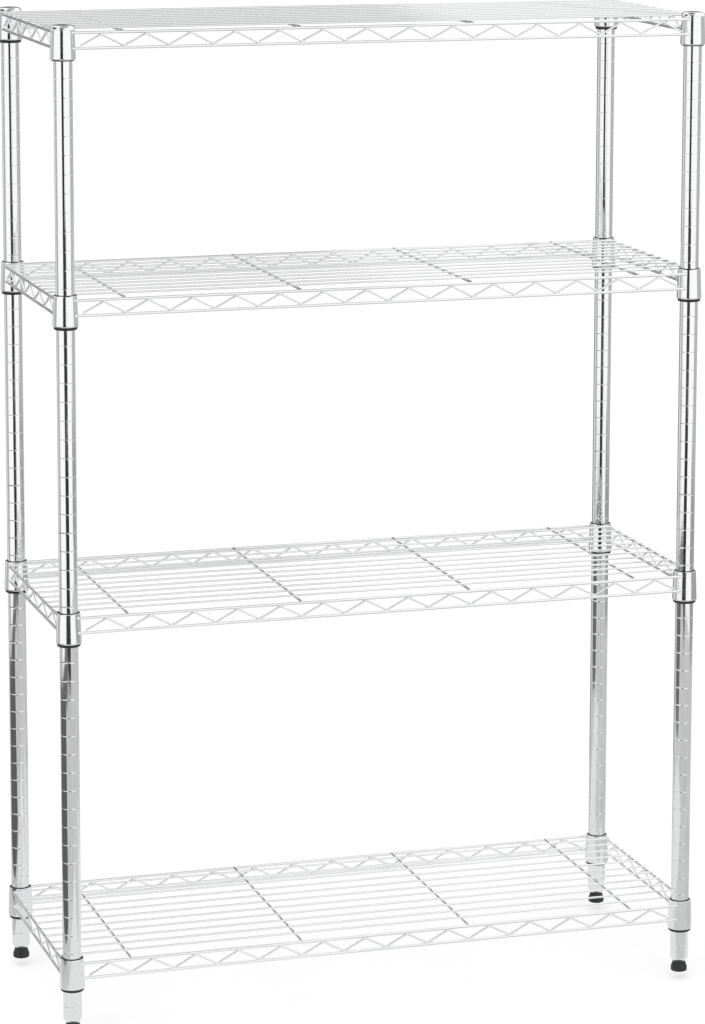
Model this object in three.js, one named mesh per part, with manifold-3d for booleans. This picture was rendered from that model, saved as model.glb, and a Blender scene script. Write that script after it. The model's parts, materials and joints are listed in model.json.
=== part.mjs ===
// Four-tier chrome wire shelving unit.
// Four tube posts, each in two halves joined by a stud, carry four welded wire shelves. Each shelf
// corner is a tapered collar that wedges down over a two-piece plastic sleeve, and a bead inside the
// sleeve sits in one of the grooves that ring the post. Caps close the posts, and feet screw into them.
// Millimetres, +Z up, front towards -Y. The origin is on the floor below the middle of the unit.

import * as THREE from 'three';
import { mergeVertices } from 'three/addons/utils/BufferGeometryUtils.js';
import Module from 'manifold-3d';

const wasm = await Module();
wasm.setup();

// Layout of the unit
const postSpacingX = 892;
const postSpacingY = 336;
const lowestCollarTop = 106;
const groovePitch = 25.4;
const groovesPerBay = [19, 17, 14];

// Gaps: between seated pieces, and between the two halves of a sleeve
const seatGap = 0.3;
const sleeveSplit = 0.8;

// Posts
const postRadius = 12.7;
const postWall = 1.2;
const postInsertThickness = 8;
const postEndTaper = 5.5;
const postEndRounding = 2;
const grooveDepth = 0.8;
const grooveHalfWidth = 1.7;
const grooveCountBelowJoint = 24;

// Studs that join the post halves
const studRadius = 4;
const studLength = 44;

// Two-piece sleeves, whose wall is thinnest at the top
const sleeveTopWall = 1.3;
const sleeveAbove = 0.8;
const sleeveBelow = 3.8;
const sleeveLip = 2;
const beadBelowCollarTop = 16.3;
const beadPlay = 0.4;

// Collars welded into the shelf corners, wider at the bottom by the flare
const collarHeight = 42.3;
const collarFlare = 1.6;
const collarWall = 1.2;
const collarRoll = 2;
const roundSides = 12;

// Domed caps in the tops of the posts, with a skirt round the top of the collar
const capWall = 0.7;
const capRise = 3.3;
const capCrown = 0.6;
const capShoulder = 4.5;
const capShoulderSteps = 3;
const capSkirt = 3.2;
const capSkirtDraft = 0.15;
const capRecessPlay = 0.4;
const capPlugLength = 14;

// Levelling feet
const footHeight = 14.7;
const footRadius = 11.7;
const footTopRadius = 8.8;
const footFlangeHeight = 4;
const footGripHeight = 8;
const footEdge = 0.9;
const footGripRadius = 10.6;
const footThreadLength = 30;

// Wires of the shelf: rails round the edge, the zigzag between them, and the deck
const railRadius = 2;
const railInset = 4;
const topRailBelowCollarTop = 6.3;
const railRise = 20.6;
const railWeldDepth = 0.8;
const zigzagThickness = 3;
const zigzagPitch = 61;
const zigzagWeld = 0.5;
const zigzagEndMargin = 4;
const deckWireRadius = 1.4;
const deckWireCount = 11;
const deckOverhang = 1.2;
const deckEdgeMargin = 1.5;
const crossWireRadius = 1.7;
const crossWireMargin = 4;
const zigzagCountPerCrossWire = 4;
const crossWeld = 0.4;
const wireSides = 6;

// Radii worked out from the post outwards: post, sleeve, collar, cap
const sleeveBore = postRadius + seatGap;
const sleeveTopRadius = sleeveBore + sleeveTopWall;
const collarTopRadius = sleeveTopRadius + seatGap + collarWall;
const collarBottomRadius = collarTopRadius + collarFlare;
const capRadius = collarTopRadius + seatGap + capWall;

// Places worked out from the sizes above
const postStart = footHeight + seatGap;
const collarTops = groovesPerBay.reduce(
  (tops, grooves) => [...tops, tops[tops.length - 1] + grooves * groovePitch],
  [lowestCollarTop],
);
const highestCollarTop = collarTops[collarTops.length - 1];
const firstGroove = lowestCollarTop - beadBelowCollarTop;
const postJoint = firstGroove + grooveCountBelowJoint * groovePitch;
const postEnd = highestCollarTop + sleeveAbove + seatGap;
const railOffset = collarTopRadius - railInset;
const railX = postSpacingX / 2 + railOffset;
const railY = postSpacingY / 2 + railOffset;

const corners = [
  { name: 'front_left', x: -postSpacingX / 2, y: -postSpacingY / 2 },
  { name: 'front_right', x: postSpacingX / 2, y: -postSpacingY / 2 },
  { name: 'back_left', x: -postSpacingX / 2, y: postSpacingY / 2 },
  { name: 'back_right', x: postSpacingX / 2, y: postSpacingY / 2 },
];

// Finishes
const chrome = new THREE.MeshStandardMaterial({ color: 0xd8dadc, roughness: 0.12, metalness: 1 });
const steel = new THREE.MeshStandardMaterial({ color: 0xa9acb0, roughness: 0.35, metalness: 1 });
const plastic = new THREE.MeshStandardMaterial({ color: 0x17181a, roughness: 0.45, metalness: 0 });

// A closed geometry as a solid that can be joined and cut
function solidOf(geometry) {
  const bare = geometry.clone();
  bare.deleteAttribute('normal');
  bare.deleteAttribute('uv');
  const merged = mergeVertices(bare);
  return new wasm.Manifold(new wasm.Mesh({
    numProp: 3,
    vertProperties: new Float32Array(merged.attributes.position.array),
    triVerts: new Uint32Array(merged.index.array),
  }));
}

// The surface of a solid as a geometry
function geometryOf(solid) {
  const surface = solid.getMesh();
  const geometry = new THREE.BufferGeometry();
  geometry.setAttribute('position', new THREE.BufferAttribute(surface.vertProperties, surface.numProp));
  geometry.setIndex(new THREE.BufferAttribute(surface.triVerts, 1));
  geometry.computeVertexNormals();
  return geometry;
}

// All the geometries joined into one solid
function joined(geometries) {
  return geometries.map(solidOf).reduce((whole, solid) => whole.add(solid));
}

// A named part in its finish
function part(name, geometry, material) {
  const mesh = new THREE.Mesh(geometry, material);
  mesh.name = name;
  return mesh;
}

// A turned form about the Z axis, from points [radius, height] listed up the outside
function turned(points) {
  const profile = points.map(([radius, height]) => new THREE.Vector2(radius, height));
  const geometry = new THREE.LatheGeometry(profile, roundSides);
  geometry.rotateX(Math.PI / 2);
  return geometry;
}

// A turned ring, whose profile closes on itself
function turnedRing(points) {
  return turned([...points, points[0]]);
}

// A straight wire from one point towards +X or +Y, with a ridge of its section facing up
function wire(from, to, radius) {
  const section = new THREE.Shape();
  for (let side = 0; side < wireSides; side += 1) {
    const angle = side * 2 * Math.PI / wireSides;
    const corner = new THREE.Vector2(radius * Math.cos(angle), radius * Math.sin(angle));
    if (side === 0) section.moveTo(corner.x, corner.y);
    else section.lineTo(corner.x, corner.y);
  }
  const along = to.clone().sub(from);
  const geometry = new THREE.ExtrudeGeometry(section, { depth: along.length(), bevelEnabled: false });
  geometry.rotateY(Math.PI / 2);
  if (along.y > 0) geometry.rotateZ(Math.PI / 2);
  geometry.translate(from.x, from.y, from.z);
  return geometry;
}

// One V groove in the wall of a post, as profile points from its lower edge to its upper one
function grooveAt(height) {
  return [
    [postRadius, height - grooveHalfWidth],
    [postRadius - grooveDepth, height],
    [postRadius, height + grooveHalfWidth],
  ];
}

// The lower half of a post, drawn in round the foot, with a threaded insert in each end
function lowerPost() {
  const end = postJoint - seatGap / 2;
  const hole = studRadius + seatGap;
  const seats = collarTops.map((top) => top - beadBelowCollarTop).filter((seat) => seat < postJoint);
  return turnedRing([
    [hole, postStart],
    [footTopRadius, postStart],
    [postRadius - postEndRounding / 2, postStart + postEndTaper - postEndRounding],
    [postRadius, postStart + postEndTaper],
    ...seats.flatMap(grooveAt),
    [postRadius, end],
    [hole, end],
    [hole, end - postInsertThickness],
    [postRadius - postWall, end - postInsertThickness],
    [postRadius - postWall, postStart + postInsertThickness],
    [hole, postStart + postInsertThickness],
  ]);
}

// The upper half of a post, with an insert at its foot and its top open for the cap
function upperPost() {
  const start = postJoint + seatGap / 2;
  const hole = studRadius + seatGap;
  const seats = collarTops.map((top) => top - beadBelowCollarTop).filter((seat) => seat > postJoint);
  return turnedRing([
    [hole, start],
    [postRadius, start],
    ...seats.flatMap(grooveAt),
    [postRadius, postEnd],
    [postRadius - postWall, postEnd],
    [postRadius - postWall, start + postInsertThickness],
    [hole, start + postInsertThickness],
  ]);
}

// The stud across the joint of a post
function joiningStud() {
  const geometry = new THREE.CylinderGeometry(studRadius, studRadius, studLength, wireSides);
  geometry.rotateX(Math.PI / 2);
  geometry.translate(0, 0, postJoint);
  return geometry;
}

// The cap: a dome whose skirt covers the top of the collar, with a plug in the post
function postCap() {
  const rest = highestCollarTop + seatGap;
  const recess = postEnd + seatGap;
  const skirtEnd = highestCollarTop - capSkirt;
  const shoulderStart = highestCollarTop + capRise - capShoulder;
  const plugRadius = postRadius - postWall - seatGap;
  const shoulder = [];
  for (let step = 0; step <= capShoulderSteps; step += 1) {
    const angle = step * Math.PI / 2 / capShoulderSteps;
    const inward = capShoulder * (1 - Math.cos(angle));
    shoulder.push([capRadius - inward, shoulderStart + capShoulder * Math.sin(angle)]);
  }
  return turned([
    [0, recess - capPlugLength],
    [plugRadius, recess - capPlugLength],
    [plugRadius, recess],
    [sleeveTopRadius + capRecessPlay, recess],
    [sleeveTopRadius + capRecessPlay, rest],
    [capRadius - capWall, rest],
    [capRadius - capWall + capSkirtDraft, skirtEnd],
    [capRadius, skirtEnd],
    ...shoulder,
    [0, highestCollarTop + capRise + capCrown],
  ]);
}

// A levelling foot: a flared base and the thread that goes up into the post
function levellingFoot() {
  return turned([
    [0, 0],
    [footRadius - footEdge, 0],
    [footRadius, footEdge],
    [footRadius, footFlangeHeight],
    [footGripRadius, footGripHeight],
    [footTopRadius, footHeight],
    [studRadius, footHeight],
    [studRadius, footHeight + footThreadLength],
    [0, footHeight + footThreadLength],
  ]);
}

// Half of a sleeve: a tapered shell with the bead that locks in a groove; side is -1 for the front half
function sleeveHalf(side) {
  const taper = collarFlare / collarHeight;
  const bottom = -collarHeight - sleeveBelow;
  const beadHalfWidth = grooveHalfWidth - beadPlay;
  const ring = turnedRing([
    [sleeveBore, bottom],
    [sleeveTopRadius - taper * bottom - sleeveLip, bottom],
    [sleeveTopRadius - taper * bottom, bottom + sleeveLip],
    [sleeveTopRadius - taper * sleeveAbove, sleeveAbove],
    [sleeveBore, sleeveAbove],
    [sleeveBore, beadHalfWidth - beadBelowCollarTop],
    [sleeveBore - grooveDepth, -beadBelowCollarTop],
    [sleeveBore, -beadHalfWidth - beadBelowCollarTop],
  ]);
  const width = 2 * collarBottomRadius;
  const height = 2 * (collarHeight + sleeveBelow + sleeveAbove);
  const half = new THREE.BoxGeometry(width, width, height);
  half.translate(0, side * (width + sleeveSplit) / 2, 0);
  return geometryOf(solidOf(ring).intersect(solidOf(half)));
}

// A collar at a corner of a shelf, tapered, with its lower edge rolled in
function collar(corner) {
  const geometry = turnedRing([
    [collarBottomRadius - collarWall, -collarHeight],
    [collarBottomRadius - collarRoll / 2, -collarHeight],
    [collarBottomRadius, collarRoll - collarHeight],
    [collarTopRadius, 0],
    [collarTopRadius - collarWall, 0],
  ]);
  geometry.translate(corner.x, corner.y, 0);
  return geometry;
}

// How far from a collar's axis the middle of a rail ends, inside the collar's wall
function railEnd(height) {
  const flare = collarFlare * -height / collarHeight;
  const face = (collarTopRadius + flare) * Math.cos(Math.PI / roundSides);
  return Math.SQRT2 * face - railOffset - railWeldDepth;
}

// A rail along X whose ends are mitred to meet the collars; the outer side of the unit is +Y
function rail(spacing, height) {
  const reach = spacing / 2 - railEnd(height);
  const geometry = wire(new THREE.Vector3(-reach, 0, 0), new THREE.Vector3(reach, 0, 0), railRadius);
  const position = geometry.attributes.position;
  for (let index = 0; index < position.count; index += 1) {
    const x = position.getX(index);
    position.setX(index, x + Math.sign(x) * position.getY(index));
  }
  geometry.translate(0, 0, height);
  return geometry;
}

// A piece made along X with its outer side to +Y, set on each of the four sides of a shelf
function onSides(make) {
  return [0, 1, 2, 3].map((side) => {
    const short = side % 2 === 1;
    const geometry = make(short);
    geometry.translate(0, short ? railX : railY, 0);
    geometry.rotateZ(side * Math.PI / 2);
    return geometry;
  });
}

// The eight rails of a shelf frame, an upper and a lower one on each side
function rails() {
  const heights = [-topRailBelowCollarTop, -topRailBelowCollarTop - railRise];
  return heights.flatMap((height) => onSides(
    (short) => rail(short ? postSpacingY : postSpacingX, height),
  ));
}

// Places at an even pitch about the middle, as many as fit within a reach to each side
function evenPlaces(pitch, reach) {
  const steps = Math.floor(2 * reach / pitch);
  return Array.from({ length: steps + 1 }, (unused, index) => (index - steps / 2) * pitch);
}

// The centre line of a zigzag from end to end, as [place, height] points
function zigzagLine(reach) {
  const low = -topRailBelowCollarTop - railRise + railRadius + zigzagThickness / 2 - zigzagWeld;
  const high = -topRailBelowCollarTop - railRadius - zigzagThickness / 2 + zigzagWeld;
  const halfPitch = zigzagPitch / 2;
  const peaks = evenPlaces(zigzagPitch, reach);
  const lastPeak = peaks[peaks.length - 1];
  const bends = peaks.flatMap((peak) => [[peak, high], [peak + halfPitch, low]]).slice(0, -1);
  const end = high - (high - low) * (reach - lastPeak) / halfPitch;
  return [[-reach, end], ...bends, [reach, end]];
}

// A zigzag wire along X, as an outline with mitred bends, extruded by the wire's thickness
function zigzag(reach) {
  const line = zigzagLine(reach).map(([place, height]) => new THREE.Vector2(place, height));
  const offset = (index, side) => {
    const before = line[index].clone().sub(line[Math.max(index - 1, 0)]).normalize();
    const after = line[Math.min(index + 1, line.length - 1)].clone().sub(line[index]).normalize();
    const along = before.add(after).normalize();
    const leg = line[1].clone().sub(line[0]).normalize();
    const ends = index === 0 || index === line.length - 1;
    const stretch = ends ? 1 : 1 / Math.abs(leg.x);
    const normal = new THREE.Vector2(-along.y, along.x);
    return line[index].clone().addScaledVector(normal, side * stretch * zigzagThickness / 2);
  };
  const lower = line.map((point, index) => offset(index, -1));
  const upper = line.map((point, index) => offset(index, 1));
  const outline = new THREE.Shape([...lower, ...upper.reverse()]);
  const geometry = new THREE.ExtrudeGeometry(outline, { depth: zigzagThickness, bevelEnabled: false });
  geometry.translate(0, 0, -zigzagThickness / 2);
  geometry.rotateX(Math.PI / 2);
  return geometry;
}

// The four zigzags of a shelf frame
function zigzags() {
  const clear = collarBottomRadius + zigzagEndMargin;
  return onSides((short) => zigzag((short ? postSpacingY : postSpacingX) / 2 - clear));
}

// The frame of a shelf: four collars, the rails and the zigzags, welded into one
function shelfFrame() {
  return geometryOf(joined([...corners.map(collar), ...rails(), ...zigzags()]));
}

// The deck of a shelf: long wires on top, welded to the wires that cross under them
function shelfDeck() {
  const height = railRadius + seatGap + deckWireRadius - topRailBelowCollarTop;
  const deckReach = railX + deckOverhang;
  const lastWire = postSpacingY / 2 - collarBottomRadius - deckEdgeMargin;
  const pitch = 2 * lastWire / (deckWireCount - 1);
  const wires = [];
  for (let index = 0; index < deckWireCount; index += 1) {
    const y = index * pitch - lastWire;
    const from = new THREE.Vector3(-deckReach, y, height);
    wires.push(wire(from, new THREE.Vector3(deckReach, y, height), deckWireRadius));
  }
  const crossHeight = height - deckWireRadius - crossWireRadius + crossWeld;
  const crossReach = railY - railRadius - seatGap;
  const crossPitch = zigzagCountPerCrossWire * zigzagPitch;
  for (const x of evenPlaces(crossPitch, postSpacingX / 2 - collarBottomRadius - crossWireMargin)) {
    const from = new THREE.Vector3(x, -crossReach, crossHeight);
    wires.push(wire(from, new THREE.Vector3(x, crossReach, crossHeight), crossWireRadius));
  }
  return geometryOf(joined(wires));
}

// The whole unit
const unit = new THREE.Group();

for (const corner of corners) {
  const post = new THREE.Group();
  post.position.set(corner.x, corner.y, 0);
  post.add(part(`post_lower_${corner.name}`, lowerPost(), chrome));
  post.add(part(`post_upper_${corner.name}`, upperPost(), chrome));
  post.add(part(`joining_stud_${corner.name}`, joiningStud(), steel));
  post.add(part(`cap_${corner.name}`, postCap(), chrome));
  post.add(part(`levelling_foot_${corner.name}`, levellingFoot(), plastic));
  unit.add(post);
}

const frontHalf = sleeveHalf(-1);
const backHalf = sleeveHalf(1);
const frame = shelfFrame();
const deck = shelfDeck();

collarTops.forEach((top, index) => {
  const shelf = new THREE.Group();
  const number = index + 1;
  shelf.position.set(0, 0, top);
  shelf.add(part(`shelf${number}_frame`, frame, chrome));
  shelf.add(part(`shelf${number}_deck`, deck, chrome));
  for (const corner of corners) {
    const sleeve = new THREE.Group();
    sleeve.position.set(corner.x, corner.y, 0);
    sleeve.add(part(`sleeve${number}_${corner.name}_front_half`, frontHalf, plastic));
    sleeve.add(part(`sleeve${number}_${corner.name}_back_half`, backHalf, plastic));
    shelf.add(sleeve);
  }
  unit.add(shelf);
});

export default unit;
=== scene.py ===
# Looks of a four-tier chrome wire shelving unit, in metres, in the frame of its CAD model.
import json
import math
import bpy
from mathutils import Matrix, Vector


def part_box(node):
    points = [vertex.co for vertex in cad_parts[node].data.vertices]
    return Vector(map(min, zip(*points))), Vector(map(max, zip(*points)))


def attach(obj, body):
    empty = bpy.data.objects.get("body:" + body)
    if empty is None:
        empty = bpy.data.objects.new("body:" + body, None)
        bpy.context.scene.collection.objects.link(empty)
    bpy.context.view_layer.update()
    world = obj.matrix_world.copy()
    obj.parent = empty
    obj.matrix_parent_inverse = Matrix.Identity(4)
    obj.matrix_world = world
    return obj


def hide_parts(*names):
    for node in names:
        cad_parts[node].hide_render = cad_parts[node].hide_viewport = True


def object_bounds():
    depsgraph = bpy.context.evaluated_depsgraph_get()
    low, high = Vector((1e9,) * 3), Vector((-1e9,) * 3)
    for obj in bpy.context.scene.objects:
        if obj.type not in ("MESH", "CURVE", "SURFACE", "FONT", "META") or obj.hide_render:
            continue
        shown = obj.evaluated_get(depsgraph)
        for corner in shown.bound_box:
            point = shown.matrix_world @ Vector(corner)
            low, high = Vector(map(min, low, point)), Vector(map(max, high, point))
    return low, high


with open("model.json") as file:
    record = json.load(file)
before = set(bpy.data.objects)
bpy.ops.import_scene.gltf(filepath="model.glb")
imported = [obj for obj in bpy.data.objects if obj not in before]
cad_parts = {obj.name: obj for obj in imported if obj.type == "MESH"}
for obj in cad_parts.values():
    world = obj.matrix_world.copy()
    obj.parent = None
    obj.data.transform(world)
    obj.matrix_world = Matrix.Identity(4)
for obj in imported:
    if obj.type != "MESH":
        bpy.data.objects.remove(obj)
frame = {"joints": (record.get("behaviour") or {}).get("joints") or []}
cad_low, cad_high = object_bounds()

# Camera, fitted to the photograph: a 705 by 1024 picture whose longer side takes the sensor's width
PICTURE_WIDTH = 705
PICTURE_HEIGHT = 1024
CAMERA_PLACE = Vector((-1.530, -4.998, 1.762))
CAMERA_YAW = math.radians(17.51)
CAMERA_PITCH = math.radians(-8.78)
CAMERA_ROLL = math.radians(0.15)
CAMERA_REACH = 200
FOCAL_PIXELS = 3755
CENTRE_PIXEL_X = 381
CENTRE_PIXEL_Y = 311
SENSOR_WIDTH_MM = 36

# Which corners and shelves there are
CORNERS = ("front_left", "front_right", "back_left", "back_right")
FRONT_CORNERS = CORNERS[:2]
SHELVES = (1, 2, 3, 4)
TOP_SHELF = SHELVES[-1]
ROOT = "posts_and_top_shelf"

# Posts
POST_RADIUS = 0.0127
POST_WALL = 0.0012
POST_TOP_EDGE = 0.0002
INSERT_LENGTH = 0.008
STUD_RADIUS = 0.004
STUD_PLAY = 0.0003

# The drawn-in lower end of a post, where the slope is in degrees
END_RADIUS = 0.0088
END_TAPER = 0.0055
END_ROUNDING = 0.002
END_SLOPE = 35
END_EDGE_WIDTH = 0.0004
END_EDGE_HEIGHT = 0.0001

# Rolled grooves of the posts
GROOVE_PITCH = 0.0254
GROOVE_DEPTH = 0.00014
GROOVE_HALF_WIDTH = 0.001
GROOVE_STEPS = 4

# Threads of the studs and feet
THREAD_PITCH = 0.00125
THREAD_DEPTH = 0.0007
THREAD_ROWS_PER_TURN = 8

# Sleeves, with the bead inside that sits in a groove
SLEEVE_BORE = 0.013
SLEEVE_TOP_RADIUS = 0.0143
SLEEVE_LIP = 0.002
SLEEVE_EDGE = 0.0004
SLEEVE_SPLIT = 0.0008
SLEEVE_SHOWN_AT_TOP_FRONT = 0.0015
BEAD_BELOW_COLLAR_TOP = 0.0163
BEAD_HALF_WIDTH = 0.0013
BEAD_DEPTH = 0.0004

# Collars, and the flats of their solids that the rails' ends are cut to
COLLAR_TOP_RADIUS = 0.0158
COLLAR_FLARE = 0.0016
COLLAR_WALL = 0.0012
COLLAR_ROLL = 0.002
COLLAR_TOP_EDGE = 0.0005
COLLAR_FLATS = 12

# Caps
CAP_WALL = 0.0007
CAP_DRAFT = 0.00015
CAP_SHOULDER = 0.0058
CAP_SHOULDER_STEPS = 10
CAP_CROWN = 0.0006
CAP_CROWN_SHARES = (0.75, 0.5, 0.25)
CAP_RECESS_RADIUS = 0.0147
CAP_SEAT_ABOVE_COLLAR = 0.0003
CAP_SKIRT = 0.0032
CAP_PLUG_LENGTH = 0.014
CAP_EDGE = 0.0003

# Levelling feet, where the slope is in degrees
FOOT_RADIUS = 0.0117
FOOT_HEIGHT = 0.0147
FOOT_EDGE = 0.0016
FOOT_RIM_WIDTH = 0.0035
FOOT_RIM_BEVEL = 0.0005
FOOT_HOLLOW = 0.0006
FOOT_FLANGE_TOP = 0.0060
FOOT_FLANGE_SLOPE = 45
FOOT_WAIST_HEIGHT = 0.0105
FOOT_WAIST_RADIUS = 0.0100
FOOT_TOP_RADIUS = 0.0088
FOOT_NECK_FLARE = 0.0003
FOOT_NECK_HEIGHT = 0.0008
FOOT_NECK_EDGE = 0.0002

# Wires of the shelves, with heights below the collar's top
RAIL_RADIUS = 0.002
RAIL_OFFSET = 0.0118
TOP_RAIL_BELOW = 0.0063
RAIL_RISE = 0.0206
RAIL_WELD_DEPTH = 0.0008
ZIGZAG_RADIUS = 0.0015
ZIGZAG_PITCH = 0.061
ZIGZAG_WELD = 0.0005
ZIGZAG_BEND = 0.005
ZIGZAG_END_MARGIN = 0.004
DECK_WIRE_RADIUS = 0.0014
DECK_WIRE_COUNT = 11
DECK_EDGE_MARGIN = 0.0015
DECK_OVERHANG = 0.0012
DECK_GAP = 0.0003
CROSS_WIRE_RADIUS = 0.0017
CROSS_WIRE_WELD = 0.0004
CROSS_WIRE_MARGIN = 0.004
ZIGZAGS_PER_CROSS_WIRE = 4
WIRE_EDGE = 0.0004

# Half sizes of the welds along X, Y and Z, each as it lies on its wire
ZIGZAG_WELD_SIZE = (0.0036, 0.0013, 0.0009)
RAIL_END_WELD_SIZE = (0.0010, 0.0030, 0.0023)
CROSSING_WELD_SIZE = (0.0021, 0.0018, 0.0007)
DECK_END_WELD_SIZE = (0.0019, 0.0015, 0.0006)

# How finely round shapes are made
POST_SIDES = 48
SMALL_SIDES = 32
WIRE_SIDES = 14
WELD_SIDES = 12
WELD_ROWS = 6
ARC_STEPS = 6
SHARP_ANGLE = math.radians(40)
TURN = 2 * math.pi

# A stretch longer than this has one more point at this distance from each of its ends
LONG_STRETCH = 0.0012
GUARD = 0.00025

# Noise: its detail, the values that it mostly lies between, and its patches a metre
NOISE_DETAIL = 3.0
NOISE_LOW = 0.3
NOISE_HIGH = 0.7
CHROME_HAZE_SCALE = 60.0
CHROME_TONE_SCALE = 9.0
CHROME_WAVE_SCALE = 220.0
GRAIN_SCALE = 1800.0
GRAIN_DETAIL = 2.0
PLASTIC_WEAR_SCALE = 140.0
SPANGLE_SCALE = 320.0
FLOOR_PATCH_SCALE = 4.0

# Finishes: ranges of roughness, heights of the waves and the grain, and colours from dark to light
TUBE_ROUGHNESS = (0.05, 0.09)
TUBE_WAVES = 0.00001
WIRE_ROUGHNESS = (0.07, 0.13)
WIRE_WAVES = 0.00002
CHROME_COLOURS = ((0.93, 0.936, 0.944), (0.96, 0.963, 0.966))
PLASTIC_ROUGHNESS = (0.36, 0.5)
PLASTIC_GRAIN = 0.00008
PLASTIC_COLOURS = ((0.016, 0.017, 0.018), (0.028, 0.029, 0.031))
STEEL_ROUGHNESS = (0.24, 0.38)
STEEL_COLOURS = ((0.56, 0.57, 0.58), (0.68, 0.69, 0.7))
WHITE = (1, 1, 1, 1)

# The visible floor, the lamp and the world
FLOOR_HALF_SIZE = 60.0
FLOOR_CLEARANCE = 0.0005
FLOOR_GREY = (0.45, 0.45, 0.45, 1)
FLOOR_GLOW = 0.61
LAMP_STRENGTH = 1.3
LAMP_ANGLE = math.radians(50)
LAMP_LEAN_BACK = math.radians(22)
LAMP_LEAN_ASIDE = math.radians(-14)
WORLD_LIGHT = 0.6

# Upright cards that only reflections see. Each has its bearing from the unit's middle in degrees,
# clockwise from +Y, its distance and width, the heights of its foot and head, and its brightness.
WALL_CARDS = {
    "card_by_camera": (205.9, 4.9, 2.1, -0.02, 3.4, 0.035),
    "card_by_camera_low": (200.0, 4.8, 3.2, -0.02, 0.5, 0.045),
    "card_left": (-65.5, 4.0, 2.5, -3.0, 1.4, 0.46),
    "card_back_left": (-28.0, 4.0, 1.3, -3.0, 2.6, 0.46),
    "card_back": (0.0, 4.0, 2.9, -3.0, 3.2, 0.24),
    "card_behind": (8.0, 3.6, 1.3, -0.02, 1.3, 0.04),
    "card_behind_top": (19.0, 3.6, 2.6, 1.7, 3.0, 0.04),
    "card_back_right": (50.0, 4.0, 1.8, -3.0, 2.6, 0.44),
    "card_right": (90.0, 4.0, 4.4, -3.0, 1.4, 0.48),
}

# Cards that lean over the unit. Each has its bearing, its elevation from the unit's middle in
# degrees, its distance, width and height, and its brightness.
SKY_CARDS = {
    "card_upper_front": (208.0, 47.0, 3.4, 2.4, 1.8, 0.28),
    "card_upper_left": (280.0, 36.0, 3.4, 2.6, 2.0, 0.1),
    "card_overhead": (0.0, 90.0, 3.0, 1.7, 1.7, 0.06),
}

# The reflected floor: two round sheets, each with its centre and radius, and sheets over and beside
# them, each with its outline. Next come a sheet's brightness, or the least and the most of it, and
# its height above the lowest sheet.
REFLECTED_FLOOR = -0.02
ROUND_SHEET_SIDES = 48
ROUND_FLOOR_SHEETS = {
    "floor_round_unit": ((0, 0), 2.6, (0.46, 0.66), 0.0),
    "floor_under_unit": ((0, -0.2), 0.75, 0.78, 0.001),
}
FLOOR_SHEETS = {
    "floor_left": ([(-0.9, -0.5), (-0.9, 0.75), (-1.9, 1.5), (-2.5, 0.0), (-2.5, -1.6)], 0.11, 0.002),
    "floor_front_left": ([(-1.94, -1.25), (-1.27, -1.93), (-1.5, -2.45), (-2.5, -1.6)], 0.16, 0.0015),
    "floor_front_right": ([(0.0, -0.25), (0.75, -0.25), (0.75, -0.95), (0.0, -0.95)], 0.6, 0.0015),
    "floor_right": ([(2.3, -2.2), (2.3, 1.4), (3.9, 1.8), (3.9, -3.2)], 0.34, 0.001),
    "floor_behind": ([(-0.05, 1.0), (-0.15, 3.6), (1.15, 3.5), (0.35, 1.0)], 0.05, 0.001),
    "floor_by_camera": ([(-1.75, -2.1), (-0.1, -2.1), (-0.1, -4.9), (-3.1, -4.0)], 0.035, 0.002),
}

# Sizes taken from the frame
cap_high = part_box("cap_front_left")[1]
shelf_low, shelf_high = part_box("shelf1_frame")
sleeve_low, sleeve_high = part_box("sleeve1_front_left_front_half")
post_low, post_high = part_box("post_lower_front_left")
upper_low, upper_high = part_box("post_upper_front_left")
foot_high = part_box("levelling_foot_front_left")[1]
stud_low, stud_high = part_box("joining_stud_front_left")
collar_height = shelf_high.z - shelf_low.z
collar_tops = {shelf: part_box(f"shelf{shelf}_frame")[1].z for shelf in SHELVES}
sleeve_above = sleeve_high.z - collar_tops[1]
sleeve_below = shelf_low.z - sleeve_low.z
first_groove = collar_tops[1] - BEAD_BELOW_COLLAR_TOP
corner_places = {}
for corner in CORNERS:
    low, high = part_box(f"cap_{corner}")
    corner_places[corner] = (low + high) / 2
spacing_x = corner_places["front_right"].x - corner_places["front_left"].x
spacing_y = corner_places["back_left"].y - corner_places["front_left"].y
rail_x = spacing_x / 2 + RAIL_OFFSET
rail_y = spacing_y / 2 + RAIL_OFFSET
collar_bottom_radius = COLLAR_TOP_RADIUS + COLLAR_FLARE
taper = COLLAR_FLARE / collar_height


class Shape:
    """Closed surfaces that make up one piece."""

    def __init__(self):
        self.points = []
        self.faces = []

    def add(self, surface, place=Matrix.Identity(4)):
        points, faces = surface
        first = len(self.points)
        self.points += [place @ Vector(point) for point in points]
        self.faces += [[first + index for index in face] for face in faces]
        return self

    def mesh(self, name, material):
        mesh = bpy.data.meshes.new(name)
        mesh.from_pydata(self.points, [], self.faces)
        mesh.shade_smooth()
        mesh.set_sharp_from_angle(angle=SHARP_ANGLE)
        mesh.materials.append(material)
        mesh.update()
        return mesh


def guarded(points):
    """The points of a line, with one more near each end of a long stretch, so that it shades flat."""
    line = [points[0]]
    for near, far in zip(points, points[1:]):
        stretch = Vector(far) - Vector(near)
        if stretch.length > LONG_STRETCH:
            step = stretch.normalized() * GUARD
            line.append(tuple(Vector(near) + step))
            line.append(tuple(Vector(far) - step))
        line.append(far)
    return line


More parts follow.
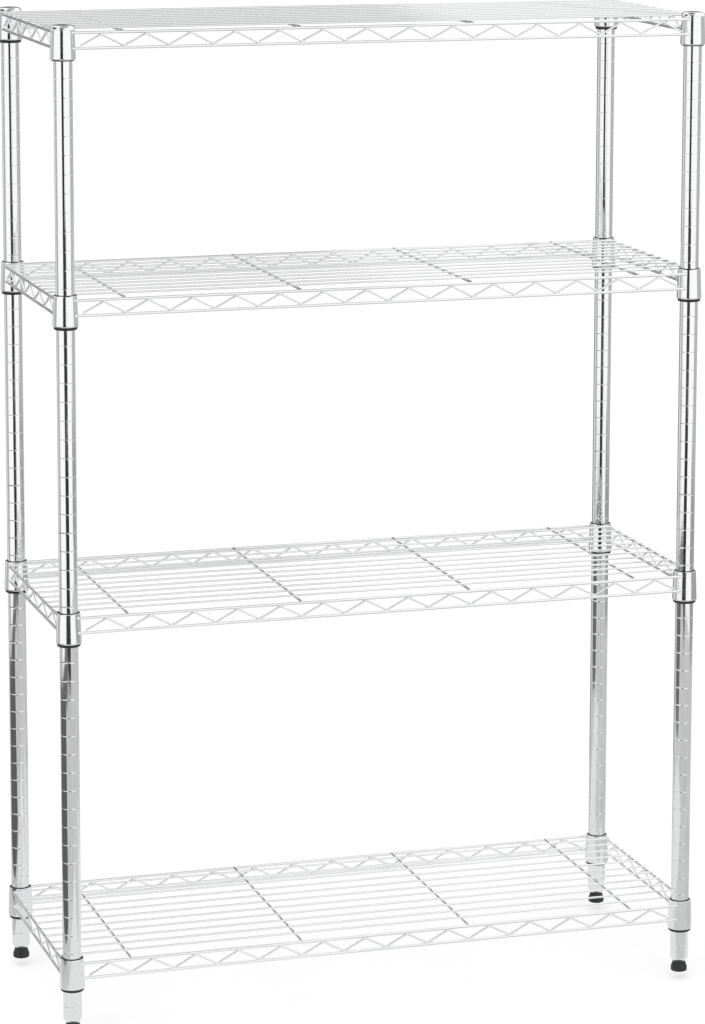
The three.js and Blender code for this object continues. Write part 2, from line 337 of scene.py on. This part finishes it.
def turned(profile, sides=POST_SIDES, start=0.0, sweep=TURN):
    """A form turned about Z from a loop of (radius, height) points, listed up its outside."""
    profile = guarded(profile)
    whole = sweep == TURN
    columns = sides if whole else sides + 1
    angles = [start + sweep * column / sides for column in range(columns)]
    points = []
    rows = []
    for radius, height in profile:
        first = len(points)
        if radius == 0:
            rows.append([first] * columns)
            points.append((0, 0, height))
        else:
            rows.append(list(range(first, first + columns)))
            points += [(radius * math.cos(a), radius * math.sin(a), height) for a in angles]
    faces = []
    for index, low_row in enumerate(rows):
        high_row = rows[(index + 1) % len(rows)]
        for column in range(sides):
            beside = (column + 1) % columns
            corners = (low_row[column], low_row[beside], high_row[beside], high_row[column])
            face = list(dict.fromkeys(corners))
            if len(face) > 2:
                faces.append(face)
    if not whole:
        faces.append([row[0] for row in rows])
        faces.append([row[-1] for row in reversed(rows)])
    return points, faces


def arc(centre, radius, start, end, steps=ARC_STEPS):
    """Points of an arc of a profile, its angles in degrees."""
    angles = [math.radians(start + (end - start) * step / steps) for step in range(steps + 1)]
    return [(centre[0] + radius * math.cos(a), centre[1] + radius * math.sin(a)) for a in angles]


def ring_faces(rings, sides):
    """The faces that join rings of points into a rod with flat ends."""
    faces = []
    for ring in range(rings - 1):
        near = ring * sides
        far = near + sides
        for side in range(sides):
            beside = (side + 1) % sides
            faces.append([near + side, near + beside, far + beside, far + side])
    faces.append(list(reversed(range(sides))))
    faces.append(list(range((rings - 1) * sides, rings * sides)))
    return faces


def tube(path, radius, across, edge=0.0):
    """A round wire along points that lie in a plane, where across is square to that plane."""
    path = [Vector(point) for point in guarded(path)]
    last = len(path) - 1
    rings = []
    for index, point in enumerate(path):
        along = (path[min(index + 1, last)] - path[max(index - 1, 0)]).normalized()
        rings.append((point, along, radius))
    if edge:
        start, start_along, _ = rings[0]
        end, end_along, _ = rings[-1]
        rings[0] = (start + start_along * edge, start_along, radius)
        rings[-1] = (end - end_along * edge, end_along, radius)
        rings.insert(0, (start, start_along, radius - edge))
        rings.append((end, end_along, radius - edge))
    points = []
    for point, along, ring_radius in rings:
        beside = along.cross(across)
        for side in range(WIRE_SIDES):
            angle = TURN * side / WIRE_SIDES
            points.append(point + (across * math.cos(angle) + beside * math.sin(angle)) * ring_radius)
    return points, ring_faces(len(rings), WIRE_SIDES)


def weld(size):
    """A rounded bead of weld, with half sizes along X, Y and Z."""
    profile = [(0, -1)]
    for row in range(1, WELD_ROWS):
        angle = math.pi * row / WELD_ROWS - math.pi / 2
        profile.append((math.cos(angle), math.sin(angle)))
    profile.append((0, 1))
    points, faces = turned(profile, WELD_SIDES)
    return [(x * size[0], y * size[1], z * size[2]) for x, y, z in points], faces


def on_sides():
    """The places of a piece made along X with its outer side to +Y, on the four sides of a shelf."""
    for side in range(4):
        short = side % 2 == 1
        turn = Matrix.Rotation(side * math.pi / 2, 4, "Z")
        out = Matrix.Translation((0, rail_x if short else rail_y, 0))
        yield short, turn @ out


def place_piece(name, mesh, body, node, at):
    """Sets a piece in place, riding on its body and standing for its node."""
    piece = bpy.data.objects.new(name, mesh)
    bpy.context.scene.collection.objects.link(piece)
    piece.location = at
    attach(piece, body)
    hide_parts(node)


def new_material(name):
    """A material with its Principled shader, and object coordinates to lay its textures by."""
    material = bpy.data.materials.new(name)
    material.use_nodes = True
    tree = material.node_tree
    shader = tree.nodes["Principled BSDF"]
    coordinates = tree.nodes.new("ShaderNodeTexCoord")
    return material, tree, shader, coordinates.outputs["Object"]


def noise(tree, coordinates, scale, detail=NOISE_DETAIL):
    node = tree.nodes.new("ShaderNodeTexNoise")
    node.inputs["Scale"].default_value = scale
    node.inputs["Detail"].default_value = detail
    tree.links.new(coordinates, node.inputs["Vector"])
    return node.outputs["Fac"]


def ranged(tree, value, low=0.0, high=1.0):
    """The noise's usual values spread over another range."""
    node = tree.nodes.new("ShaderNodeMapRange")
    node.inputs["From Min"].default_value = NOISE_LOW
    node.inputs["From Max"].default_value = NOISE_HIGH
    node.inputs["To Min"].default_value = low
    node.inputs["To Max"].default_value = high
    tree.links.new(value, node.inputs["Value"])
    return node.outputs["Result"]


def bump(tree, height, distance):
    node = tree.nodes.new("ShaderNodeBump")
    node.inputs["Strength"].default_value = 1.0
    node.inputs["Distance"].default_value = distance
    tree.links.new(height, node.inputs["Height"])
    return node.outputs["Normal"]


def tinted(tree, value, dark, light):
    """A colour between two, by a value."""
    node = tree.nodes.new("ShaderNodeMix")
    node.data_type = "RGBA"
    node.inputs["A"].default_value = (*dark, 1)
    node.inputs["B"].default_value = (*light, 1)
    tree.links.new(value, node.inputs["Factor"])
    return node.outputs["Result"]


def chrome_material(name, roughness, waves):
    """Bright plating: nearly white metal, with faint haze and slow waves in the surface."""
    material, tree, shader, coordinates = new_material(name)
    haze = noise(tree, coordinates, CHROME_HAZE_SCALE)
    tone = noise(tree, coordinates, CHROME_TONE_SCALE)
    wave = noise(tree, coordinates, CHROME_WAVE_SCALE)
    shader.inputs["Metallic"].default_value = 1.0
    tree.links.new(ranged(tree, haze, *roughness), shader.inputs["Roughness"])
    tree.links.new(tinted(tree, ranged(tree, tone), *CHROME_COLOURS), shader.inputs["Base Color"])
    tree.links.new(bump(tree, wave, waves), shader.inputs["Normal"])
    return material


def plastic_material():
    """Moulded black plastic with a fine grain."""
    material, tree, shader, coordinates = new_material("black_plastic_grain")
    grain = noise(tree, coordinates, GRAIN_SCALE, GRAIN_DETAIL)
    wear = noise(tree, coordinates, PLASTIC_WEAR_SCALE)
    tree.links.new(ranged(tree, wear, *PLASTIC_ROUGHNESS), shader.inputs["Roughness"])
    tree.links.new(tinted(tree, ranged(tree, wear), *PLASTIC_COLOURS), shader.inputs["Base Color"])
    tree.links.new(bump(tree, grain, PLASTIC_GRAIN), shader.inputs["Normal"])
    return material


def steel_material():
    """Zinc-plated steel, duller than the plating on the posts."""
    material, tree, shader, coordinates = new_material("zinc_plated_steel")
    spangle = noise(tree, coordinates, SPANGLE_SCALE)
    shader.inputs["Metallic"].default_value = 1.0
    tree.links.new(ranged(tree, spangle, *STEEL_ROUGHNESS), shader.inputs["Roughness"])
    tree.links.new(tinted(tree, ranged(tree, spangle), *STEEL_COLOURS), shader.inputs["Base Color"])
    return material


def set_camera():
    """The camera at the photograph's angle, with the shift that its framing needs."""
    forward = Vector((
        math.sin(CAMERA_YAW) * math.cos(CAMERA_PITCH),
        math.cos(CAMERA_YAW) * math.cos(CAMERA_PITCH),
        math.sin(CAMERA_PITCH),
    ))
    level_right = Vector((math.cos(CAMERA_YAW), -math.sin(CAMERA_YAW), 0))
    level_up = level_right.cross(forward)
    right = level_right * math.cos(CAMERA_ROLL) + level_up * math.sin(CAMERA_ROLL)
    up = right.cross(forward)
    data = bpy.data.cameras.new("camera")
    data.sensor_width = SENSOR_WIDTH_MM
    data.lens = FOCAL_PIXELS * SENSOR_WIDTH_MM / PICTURE_HEIGHT
    data.shift_x = (PICTURE_WIDTH / 2 - CENTRE_PIXEL_X) / PICTURE_HEIGHT
    data.shift_y = (CENTRE_PIXEL_Y - PICTURE_HEIGHT / 2) / PICTURE_HEIGHT
    data.clip_end = CAMERA_REACH
    camera = bpy.data.objects.new("camera", data)
    bpy.context.scene.collection.objects.link(camera)
    turn = Matrix((right, up, -forward)).transposed().to_4x4()
    camera.matrix_world = Matrix.Translation(CAMERA_PLACE) @ turn
    bpy.context.scene.camera = camera


def groove(height, first=-GROOVE_STEPS, last=GROOVE_STEPS):
    """A rolled groove in a post, with a soft edge, from its lower side to its upper one."""
    points = []
    for step in range(first, last + 1):
        share = step / GROOVE_STEPS
        depth = GROOVE_DEPTH * (1 + math.cos(math.pi * share)) / 2
        points.append((POST_RADIUS - depth, height + GROOVE_HALF_WIDTH * share))
    return points


def grooves_between(low, high):
    """All the grooves of a post that lie whole between two heights."""
    points = []
    first = math.ceil((low + GROOVE_HALF_WIDTH - first_groove) / GROOVE_PITCH)
    last = math.floor((high - GROOVE_HALF_WIDTH - first_groove) / GROOVE_PITCH)
    for number in range(first, last + 1):
        points += groove(first_groove + number * GROOVE_PITCH)
    return points


def lower_post_shape():
    """The lower half of a post: drawn in round the foot, with a threaded insert in each end."""
    hole = STUD_RADIUS + STUD_PLAY
    inside = POST_RADIUS - POST_WALL
    start = post_low.z
    end = post_high.z
    centre = (POST_RADIUS - END_ROUNDING, start + END_TAPER)
    return Shape().add(turned([
        (hole, start),
        (END_RADIUS, start),
        (END_RADIUS + END_EDGE_WIDTH, start + END_EDGE_HEIGHT),
        (POST_RADIUS - END_ROUNDING / 2, start + END_TAPER - END_ROUNDING),
        *arc(centre, END_ROUNDING, -END_SLOPE, 0)[1:],
        *grooves_between(start + END_TAPER, end),
        *groove(end, last=0),
        (hole, end),
        (hole, end - INSERT_LENGTH),
        (inside, end - INSERT_LENGTH),
        (inside, start + INSERT_LENGTH),
        (hole, start + INSERT_LENGTH),
    ]))


def upper_post_shape():
    """The upper half of a post, with an insert at its foot and its top open for the cap."""
    hole = STUD_RADIUS + STUD_PLAY
    inside = POST_RADIUS - POST_WALL
    start = upper_low.z
    end = upper_high.z
    return Shape().add(turned([
        (hole, start),
        *groove(start, first=0),
        *grooves_between(start + GROOVE_HALF_WIDTH, end),
        (POST_RADIUS, end - POST_TOP_EDGE),
        (POST_RADIUS - POST_TOP_EDGE, end),
        (inside, end),
        (inside, start + INSERT_LENGTH),
        (hole, start + INSERT_LENGTH),
    ]))


def thread(low, high):
    """A threaded rod about Z, whose crest climbs one pitch in a turn."""
    rows = round((high - low) / THREAD_PITCH * THREAD_ROWS_PER_TURN)
    points = []
    for row in range(rows + 1):
        height = low + (high - low) * row / rows
        for side in range(SMALL_SIDES):
            phase = (height / THREAD_PITCH - side / SMALL_SIDES) % 1
            depth = THREAD_DEPTH * abs(2 * phase - 1)
            nearest_end = min(height - low, high - height)
            radius = min(STUD_RADIUS - depth, STUD_RADIUS - THREAD_DEPTH + nearest_end)
            angle = TURN * side / SMALL_SIDES
            points.append((radius * math.cos(angle), radius * math.sin(angle), height))
    return points, ring_faces(rows + 1, SMALL_SIDES)


def cap_shape():
    """A cap: a domed top with a skirt over the collar, and a plug that goes into the post."""
    top = collar_tops[TOP_SHELF]
    rest = top + CAP_SEAT_ABOVE_COLLAR
    recess = upper_high.z + CAP_SEAT_ABOVE_COLLAR
    skirt_end = top - CAP_SKIRT
    radius = COLLAR_TOP_RADIUS + CAP_SEAT_ABOVE_COLLAR + CAP_WALL
    shoulder_top = cap_high.z - CAP_CROWN
    flat = radius - CAP_SHOULDER
    centre = (flat, shoulder_top - CAP_SHOULDER)
    plug = POST_RADIUS - POST_WALL - CAP_SEAT_ABOVE_COLLAR
    crown = [(flat * share, cap_high.z - CAP_CROWN * share ** 2) for share in CAP_CROWN_SHARES]
    return Shape().add(turned([
        (0, recess - CAP_PLUG_LENGTH),
        (plug - CAP_EDGE, recess - CAP_PLUG_LENGTH),
        (plug, recess - CAP_PLUG_LENGTH + CAP_EDGE),
        (plug, recess),
        (CAP_RECESS_RADIUS, recess),
        (CAP_RECESS_RADIUS, rest),
        (radius - CAP_WALL, rest),
        (radius - CAP_WALL + CAP_DRAFT, skirt_end),
        (radius - CAP_EDGE, skirt_end),
        (radius, skirt_end + CAP_EDGE),
        *arc(centre, CAP_SHOULDER, 0, 90, CAP_SHOULDER_STEPS),
        *crown,
        (0, cap_high.z),
    ]))


def foot_shape():
    """The base of a levelling foot: a rounded flange that narrows up to the post's end."""
    rim_inside = FOOT_RADIUS - FOOT_RIM_WIDTH
    edge = (FOOT_RADIUS - FOOT_EDGE, FOOT_EDGE)
    flange_edge = (FOOT_RADIUS - FOOT_EDGE, FOOT_FLANGE_TOP)
    return Shape().add(turned([
        (0, FOOT_HOLLOW),
        (rim_inside - FOOT_RIM_BEVEL, FOOT_HOLLOW),
        (rim_inside, 0),
        *arc(edge, FOOT_EDGE, -90, 0),
        (FOOT_RADIUS, FOOT_FLANGE_TOP - FOOT_EDGE / 2),
        *arc(flange_edge, FOOT_EDGE, 0, FOOT_FLANGE_SLOPE)[1:],
        (FOOT_WAIST_RADIUS, FOOT_WAIST_HEIGHT),
        (FOOT_TOP_RADIUS + FOOT_NECK_FLARE, FOOT_HEIGHT - FOOT_NECK_HEIGHT),
        (FOOT_TOP_RADIUS - FOOT_NECK_EDGE, FOOT_HEIGHT),
        (0, FOOT_HEIGHT),
    ], SMALL_SIDES))


def sleeve_half_shape(front, shown_below):
    """Half of a sleeve, about the corner's axis, with heights from the collar's top."""
    bottom = -collar_height - shown_below
    foot_radius = SLEEVE_TOP_RADIUS - taper * bottom
    top_radius = SLEEVE_TOP_RADIUS - taper * sleeve_above
    gap = SLEEVE_SPLIT / 2 / SLEEVE_BORE
    profile = [
        (SLEEVE_BORE + SLEEVE_EDGE, bottom),
        *arc((foot_radius - SLEEVE_LIP, bottom + SLEEVE_LIP), SLEEVE_LIP, -90, 0),
        (top_radius, sleeve_above - SLEEVE_EDGE),
        (top_radius - SLEEVE_EDGE, sleeve_above),
        (SLEEVE_BORE, sleeve_above),
        (SLEEVE_BORE, BEAD_HALF_WIDTH - BEAD_BELOW_COLLAR_TOP),
        (SLEEVE_BORE - BEAD_DEPTH, -BEAD_BELOW_COLLAR_TOP),
        (SLEEVE_BORE, -BEAD_HALF_WIDTH - BEAD_BELOW_COLLAR_TOP),
        (SLEEVE_BORE, bottom + SLEEVE_EDGE),
    ]
    start = math.pi + gap if front else gap
    return Shape().add(turned(profile, SMALL_SIDES, start, math.pi - 2 * gap))


def collar_surface():
    """A collar about its axis, tapered, with its lower edge rolled in and its top edge eased."""
    roll = (collar_bottom_radius - COLLAR_ROLL, COLLAR_ROLL - collar_height)
    rim_angle = math.degrees(math.acos(1 - COLLAR_WALL / COLLAR_ROLL))
    return turned([
        *arc(roll, COLLAR_ROLL, -rim_angle, 0),
        (COLLAR_TOP_RADIUS, -COLLAR_TOP_EDGE),
        (COLLAR_TOP_RADIUS - COLLAR_TOP_EDGE, 0),
        (COLLAR_TOP_RADIUS - COLLAR_WALL, 0),
        (collar_bottom_radius - COLLAR_WALL, COLLAR_ROLL - collar_height),
    ])


def even_places(pitch, reach):
    """Places at an even pitch about the middle, as many as fit within a reach to each side."""
    steps = math.floor(2 * reach / pitch)
    return [(index - steps / 2) * pitch for index in range(steps + 1)]


def rounded(points, radius):
    """A path in the XZ plane with its bends rounded."""
    path = [points[0]]
    for before, bend, after in zip(points, points[1:], points[2:]):
        back = (before - bend).normalized()
        on = (after - bend).normalized()
        half = back.angle(on) / 2
        reach = radius / math.tan(half)
        middle = (back + on).normalized()
        centre = bend + middle * radius / math.sin(half)
        start = bend + back * reach - centre
        end = bend + on * reach - centre
        for step in range(ARC_STEPS + 1):
            path.append(centre + start.slerp(end, step / ARC_STEPS).normalized() * radius)
    path.append(points[-1])
    return path


def zigzag_path(reach):
    """The centre line of a zigzag, whose bends press against the rails above and below."""
    half_pitch = ZIGZAG_PITCH / 2
    contact = RAIL_RADIUS + ZIGZAG_RADIUS - ZIGZAG_WELD
    slope = math.atan2(RAIL_RISE - 2 * contact, half_pitch)
    lost = ZIGZAG_BEND * (1 / math.cos(slope) - 1)
    high = -TOP_RAIL_BELOW - contact + lost
    low = -TOP_RAIL_BELOW - RAIL_RISE + contact - lost
    peaks = even_places(ZIGZAG_PITCH, reach)
    points = []
    for peak in peaks:
        points.append(Vector((peak, 0, high)))
        points.append(Vector((peak + half_pitch, 0, low)))
    points.pop()
    end = high - (high - low) * (reach - peaks[-1]) / half_pitch
    points.insert(0, Vector((-reach, 0, end)))
    points.append(Vector((reach, 0, end)))
    return rounded(points, ZIGZAG_BEND), peaks


def rail_surface(spacing, height):
    """A rail along X, its ends cut to lie in the walls of the collars; the outer side is +Y."""
    face = (COLLAR_TOP_RADIUS - taper * height) * math.cos(math.pi / COLLAR_FLATS)
    end = math.sqrt(2) * face - RAIL_OFFSET - RAIL_WELD_DEPTH
    reach = spacing / 2 - end
    path = [Vector((-reach, 0, height)), Vector((reach, 0, height))]
    points, faces = tube(path, RAIL_RADIUS, Vector((0, 1, 0)))
    mitred = [(p.x + p.y * math.copysign(1, p.x), p.y, p.z) for p in points]
    return mitred, faces


def frame_shape():
    """The frame of a shelf: collars, rails and zigzags, with their welds."""
    shape = Shape()
    collar = collar_surface()
    for place in corner_places.values():
        shape.add(collar, Matrix.Translation((place.x, place.y, 0)))
    clear = collar_bottom_radius + ZIGZAG_END_MARGIN
    rail_face = RAIL_RADIUS - ZIGZAG_WELD / 2
    zigzag_weld = weld(ZIGZAG_WELD_SIZE)
    rail_end_weld = weld(RAIL_END_WELD_SIZE)
    for short, place in on_sides():
        spacing = spacing_y if short else spacing_x
        for height in (-TOP_RAIL_BELOW, -TOP_RAIL_BELOW - RAIL_RISE):
            shape.add(rail_surface(spacing, height), place)
            wall = COLLAR_TOP_RADIUS - taper * height
            met = spacing / 2 - math.sqrt(wall ** 2 - RAIL_OFFSET ** 2)
            for side in (-1, 1):
                at = Matrix.Translation((side * met, 0, height))
                slant = Matrix.Rotation(-side * math.pi / 4, 4, "Z")
                shape.add(rail_end_weld, place @ at @ slant)
        path, peaks = zigzag_path(spacing / 2 - clear)
        shape.add(tube(path, ZIGZAG_RADIUS, Vector((0, 1, 0)), WIRE_EDGE), place)
        for peak in peaks:
            at = Matrix.Translation((peak, 0, -TOP_RAIL_BELOW - rail_face))
            shape.add(zigzag_weld, place @ at)
        for peak in peaks[:-1]:
            height = -TOP_RAIL_BELOW - RAIL_RISE + rail_face
            at = Matrix.Translation((peak + ZIGZAG_PITCH / 2, 0, height))
            shape.add(zigzag_weld, place @ at)
    return shape


def deck_shape():
    """The deck of a shelf: long wires welded to the wires that cross under them and to the rails."""
    shape = Shape()
    height = RAIL_RADIUS + DECK_GAP + DECK_WIRE_RADIUS - TOP_RAIL_BELOW
    cross_height = height - DECK_WIRE_RADIUS - CROSS_WIRE_RADIUS + CROSS_WIRE_WELD
    reach = rail_x + DECK_OVERHANG
    last_wire = spacing_y / 2 - collar_bottom_radius - DECK_EDGE_MARGIN
    pitch = 2 * last_wire / (DECK_WIRE_COUNT - 1)
    cross_reach = rail_y - RAIL_RADIUS
    cross_margin = collar_bottom_radius + CROSS_WIRE_MARGIN
    cross_places = even_places(ZIGZAGS_PER_CROSS_WIRE * ZIGZAG_PITCH, spacing_x / 2 - cross_margin)
    crossing_weld = weld(CROSSING_WELD_SIZE)
    end_weld = weld(DECK_END_WELD_SIZE)
    for index in range(DECK_WIRE_COUNT):
        y = index * pitch - last_wire
        path = [Vector((-reach, y, height)), Vector((reach, y, height))]
        shape.add(tube(path, DECK_WIRE_RADIUS, Vector((0, 1, 0)), WIRE_EDGE))
        for x in cross_places:
            at = (x, y, height - DECK_WIRE_RADIUS + CROSS_WIRE_WELD / 2)
            shape.add(crossing_weld, Matrix.Translation(at))
        for x in (-rail_x, rail_x):
            at = (x, y, height - DECK_WIRE_RADIUS - DECK_GAP / 2)
            shape.add(end_weld, Matrix.Translation(at))
    for x in cross_places:
        path = [Vector((x, -cross_reach, cross_height)), Vector((x, cross_reach, cross_height))]
        shape.add(tube(path, CROSS_WIRE_RADIUS, Vector((1, 0, 0)), WIRE_EDGE))
    return shape


def make_posts(chrome, steel):
    """The post halves, the studs that join them, and the caps."""
    halves = {
        "lower": lower_post_shape().mesh("post_lower_tube", chrome),
        "upper": upper_post_shape().mesh("post_upper_tube", chrome),
    }
    stud = Shape().add(thread(stud_low.z, stud_high.z)).mesh("joining_stud_thread", steel)
    cap = cap_shape().mesh("cap_dome", chrome)
    for corner, place in corner_places.items():
        at = (place.x, place.y, 0)
        for half, mesh in halves.items():
            node = f"post_{half}_{corner}"
            place_piece(f"{node}_tube", mesh, ROOT, node, at)
        node = f"joining_stud_{corner}"
        place_piece(f"{node}_thread", stud, ROOT, node, at)
        node = f"cap_{corner}"
        place_piece(f"{node}_dome", cap, ROOT, node, at)


def make_feet(plastic, steel):
    """The levelling feet, each a moulded base on a threaded rod."""
    base = foot_shape().mesh("levelling_foot_base", plastic)
    rod = Shape().add(thread(FOOT_HEIGHT, foot_high.z)).mesh("levelling_foot_thread", steel)
    for corner, place in corner_places.items():
        node = f"levelling_foot_{corner}"
        body = f"foot_{corner}"
        at = (place.x, place.y, 0)
        place_piece(f"{node}_base", base, body, node, at)
        place_piece(f"{node}_thread", rod, body, node, at)


def sleeve_halves(name, shown_below, plastic):
    """The two halves of a sleeve that shows so much below its collar."""
    return {
        "front": sleeve_half_shape(True, shown_below).mesh(f"{name}_front_shell", plastic),
        "back": sleeve_half_shape(False, shown_below).mesh(f"{name}_back_shell", plastic),
    }


def place_sleeves(shelf, top, usual, short):
    """The sleeve halves in the collars of a shelf, which stay on the posts when it is lifted."""
    for corner, place in corner_places.items():
        at = (place.x, place.y, top)
        halves = short if shelf == TOP_SHELF and corner in FRONT_CORNERS else usual
        for half, mesh in halves.items():
            node = f"sleeve{shelf}_{corner}_{half}_half"
            place_piece(f"{node}_shell", mesh, ROOT, node, at)


def make_shelves(chrome, plastic):
    """The frame and the deck of each shelf, on the body that carries them, and its sleeves."""
    wires = {
        "frame": frame_shape().mesh("shelf_frame_wires", chrome),
        "deck": deck_shape().mesh("shelf_deck_wires", chrome),
    }
    usual = sleeve_halves("sleeve", sleeve_below, plastic)
    short = sleeve_halves("sleeve_short", SLEEVE_SHOWN_AT_TOP_FRONT, plastic)
    for shelf, top in collar_tops.items():
        body = ROOT if shelf == TOP_SHELF else f"shelf{shelf}"
        for part, mesh in wires.items():
            node = f"shelf{shelf}_{part}"
            place_piece(f"{node}_wires", mesh, body, node, (0, 0, top))
        place_sleeves(shelf, top, usual, short)


def emission(name, brightness):
    """A glow of one brightness, or of patches between two."""
    material = bpy.data.materials.new(name)
    material.use_nodes = True
    tree = material.node_tree
    tree.nodes.clear()
    light = tree.nodes.new("ShaderNodeEmission")
    light.inputs["Color"].default_value = WHITE
    if isinstance(brightness, tuple):
        coordinates = tree.nodes.new("ShaderNodeTexCoord").outputs["Object"]
        patches = noise(tree, coordinates, FLOOR_PATCH_SCALE)
        tree.links.new(ranged(tree, patches, *brightness), light.inputs["Strength"])
    else:
        light.inputs["Strength"].default_value = brightness
    output = tree.nodes.new("ShaderNodeOutputMaterial")
    tree.links.new(light.outputs["Emission"], output.inputs["Surface"])
    return material


def stage_piece(name, points, brightness):
    """A flat glowing surface of the studio that only reflections see."""
    mesh = bpy.data.meshes.new(name)
    mesh.from_pydata(points, [], [range(len(points))])
    mesh.materials.append(emission(name, brightness))
    piece = bpy.data.objects.new(name, mesh)
    bpy.context.scene.collection.objects.link(piece)
    piece.visible_camera = False
    piece.visible_diffuse = False
    piece.visible_shadow = False
    piece.visible_transmission = False


def wall_card(name, bearing, distance, width, foot, head, brightness):
    """An upright card that faces the unit's middle."""
    angle = math.radians(bearing)
    centre = Vector((math.sin(angle), math.cos(angle), 0)) * distance
    beside = Vector((math.cos(angle), -math.sin(angle), 0)) * width / 2
    points = []
    for side, height in ((-1, foot), (1, foot), (1, head), (-1, head)):
        points.append(centre + beside * side + Vector((0, 0, height)))
    stage_piece(name, points, brightness)


def sky_card(name, bearing, elevation, distance, width, height, brightness):
    """A card that leans over the unit, square to the line from the unit's middle."""
    angle = math.radians(bearing)
    rise = math.radians(elevation)
    level = Vector((math.sin(angle), math.cos(angle), 0))
    out = level * math.cos(rise) + Vector((0, 0, math.sin(rise)))
    beside = Vector((math.cos(angle), -math.sin(angle), 0)) * width / 2
    up = Vector((0, 0, math.cos(rise))) - level * math.sin(rise)
    centre = Vector((0, 0, (cad_low.z + cad_high.z) / 2)) + out * distance
    along = up * height / 2
    points = []
    for side, end in ((-1, -1), (1, -1), (1, 1), (-1, 1)):
        points.append(centre + beside * side + along * end)
    stage_piece(name, points, brightness)


def floor_sheet(name, outline, brightness, above):
    """A flat part of the reflected floor, inside an outline of (x, y) places."""
    points = [(x, y, REFLECTED_FLOOR + above) for x, y in outline]
    stage_piece(name, points, brightness)


def circle(centre, radius):
    """Places round a circle, clockwise from +Y."""
    angles = [TURN * side / ROUND_SHEET_SIDES for side in range(ROUND_SHEET_SIDES)]
    return [(centre[0] + radius * math.sin(a), centre[1] + radius * math.cos(a)) for a in angles]


def make_floor():
    """A white floor that keeps the soft shadow; it sits below the reach of the feet."""
    travel = max(joint["range_m"][1] for joint in frame["joints"] if "foot" in joint["name"])
    height = cad_low.z - travel - FLOOR_CLEARANCE
    mesh = bpy.data.meshes.new("floor")
    corners = ((-1, -1), (1, -1), (1, 1), (-1, 1))
    points = [(x * FLOOR_HALF_SIZE, y * FLOOR_HALF_SIZE, height) for x, y in corners]
    mesh.from_pydata(points, [], [(0, 1, 2, 3)])
    material = bpy.data.materials.new("floor")
    material.use_nodes = True
    nodes = material.node_tree.nodes
    links = material.node_tree.links
    nodes.clear()
    diffuse = nodes.new("ShaderNodeBsdfDiffuse")
    diffuse.inputs["Color"].default_value = FLOOR_GREY
    glow = nodes.new("ShaderNodeEmission")
    path = nodes.new("ShaderNodeLightPath")
    level = nodes.new("ShaderNodeMath")
    level.operation = "MULTIPLY"
    level.inputs[1].default_value = FLOOR_GLOW
    links.new(path.outputs["Is Camera Ray"], level.inputs[0])
    links.new(level.outputs["Value"], glow.inputs["Strength"])
    both = nodes.new("ShaderNodeAddShader")
    links.new(diffuse.outputs["BSDF"], both.inputs[0])
    links.new(glow.outputs["Emission"], both.inputs[1])
    output = nodes.new("ShaderNodeOutputMaterial")
    links.new(both.outputs["Shader"], output.inputs["Surface"])
    mesh.materials.append(material)
    floor = bpy.data.objects.new("floor", mesh)
    bpy.context.scene.collection.objects.link(floor)
    floor.visible_glossy = False


def make_world():
    """White for the camera and for reflections, and a plain even light for the rest."""
    world = bpy.data.worlds.new("studio")
    world.use_nodes = True
    tree = world.node_tree
    tree.nodes.clear()
    path = tree.nodes.new("ShaderNodeLightPath")
    seen = tree.nodes.new("ShaderNodeMath")
    seen.operation = "MAXIMUM"
    tree.links.new(path.outputs["Is Camera Ray"], seen.inputs[0])
    tree.links.new(path.outputs["Is Glossy Ray"], seen.inputs[1])
    shown = tree.nodes.new("ShaderNodeBackground")
    shown.inputs["Color"].default_value = WHITE
    shown.inputs["Strength"].default_value = 1.0
    light = tree.nodes.new("ShaderNodeBackground")
    light.inputs["Color"].default_value = WHITE
    light.inputs["Strength"].default_value = WORLD_LIGHT
    mix = tree.nodes.new("ShaderNodeMixShader")
    tree.links.new(seen.outputs["Value"], mix.inputs["Fac"])
    tree.links.new(light.outputs["Background"], mix.inputs[1])
    tree.links.new(shown.outputs["Background"], mix.inputs[2])
    output = tree.nodes.new("ShaderNodeOutputWorld")
    tree.links.new(mix.outputs["Shader"], output.inputs["Surface"])
    bpy.context.scene.world = world


def make_lamp():
    """One large soft lamp, high at the front left, that reflections don't see."""
    data = bpy.data.lights.new("soft_lamp", "SUN")
    data.energy = LAMP_STRENGTH
    data.angle = LAMP_ANGLE
    lamp = bpy.data.objects.new("soft_lamp", data)
    bpy.context.scene.collection.objects.link(lamp)
    lamp.rotation_euler = (LAMP_LEAN_BACK, LAMP_LEAN_ASIDE, 0)
    lamp.visible_glossy = False


def make_room():
    """What the plating reflects: grey walls, dark stands and cards overhead, and the floor."""
    for name, card in WALL_CARDS.items():
        wall_card(name, *card)
    for name, card in SKY_CARDS.items():
        sky_card(name, *card)
    for name, (centre, radius, brightness, above) in ROUND_FLOOR_SHEETS.items():
        floor_sheet(name, circle(centre, radius), brightness, above)
    for name, (outline, brightness, above) in FLOOR_SHEETS.items():
        floor_sheet(name, outline, brightness, above)


tube_chrome = chrome_material("chrome_tube", TUBE_ROUGHNESS, TUBE_WAVES)
wire_chrome = chrome_material("chrome_wire", WIRE_ROUGHNESS, WIRE_WAVES)
black_plastic = plastic_material()
zinc_steel = steel_material()

set_camera()
make_posts(tube_chrome, zinc_steel)
make_feet(black_plastic, zinc_steel)
make_shelves(wire_chrome, black_plastic)
make_floor()
make_world()
make_lamp()
make_room()

bpy.context.scene.view_settings.view_transform = "Standard"
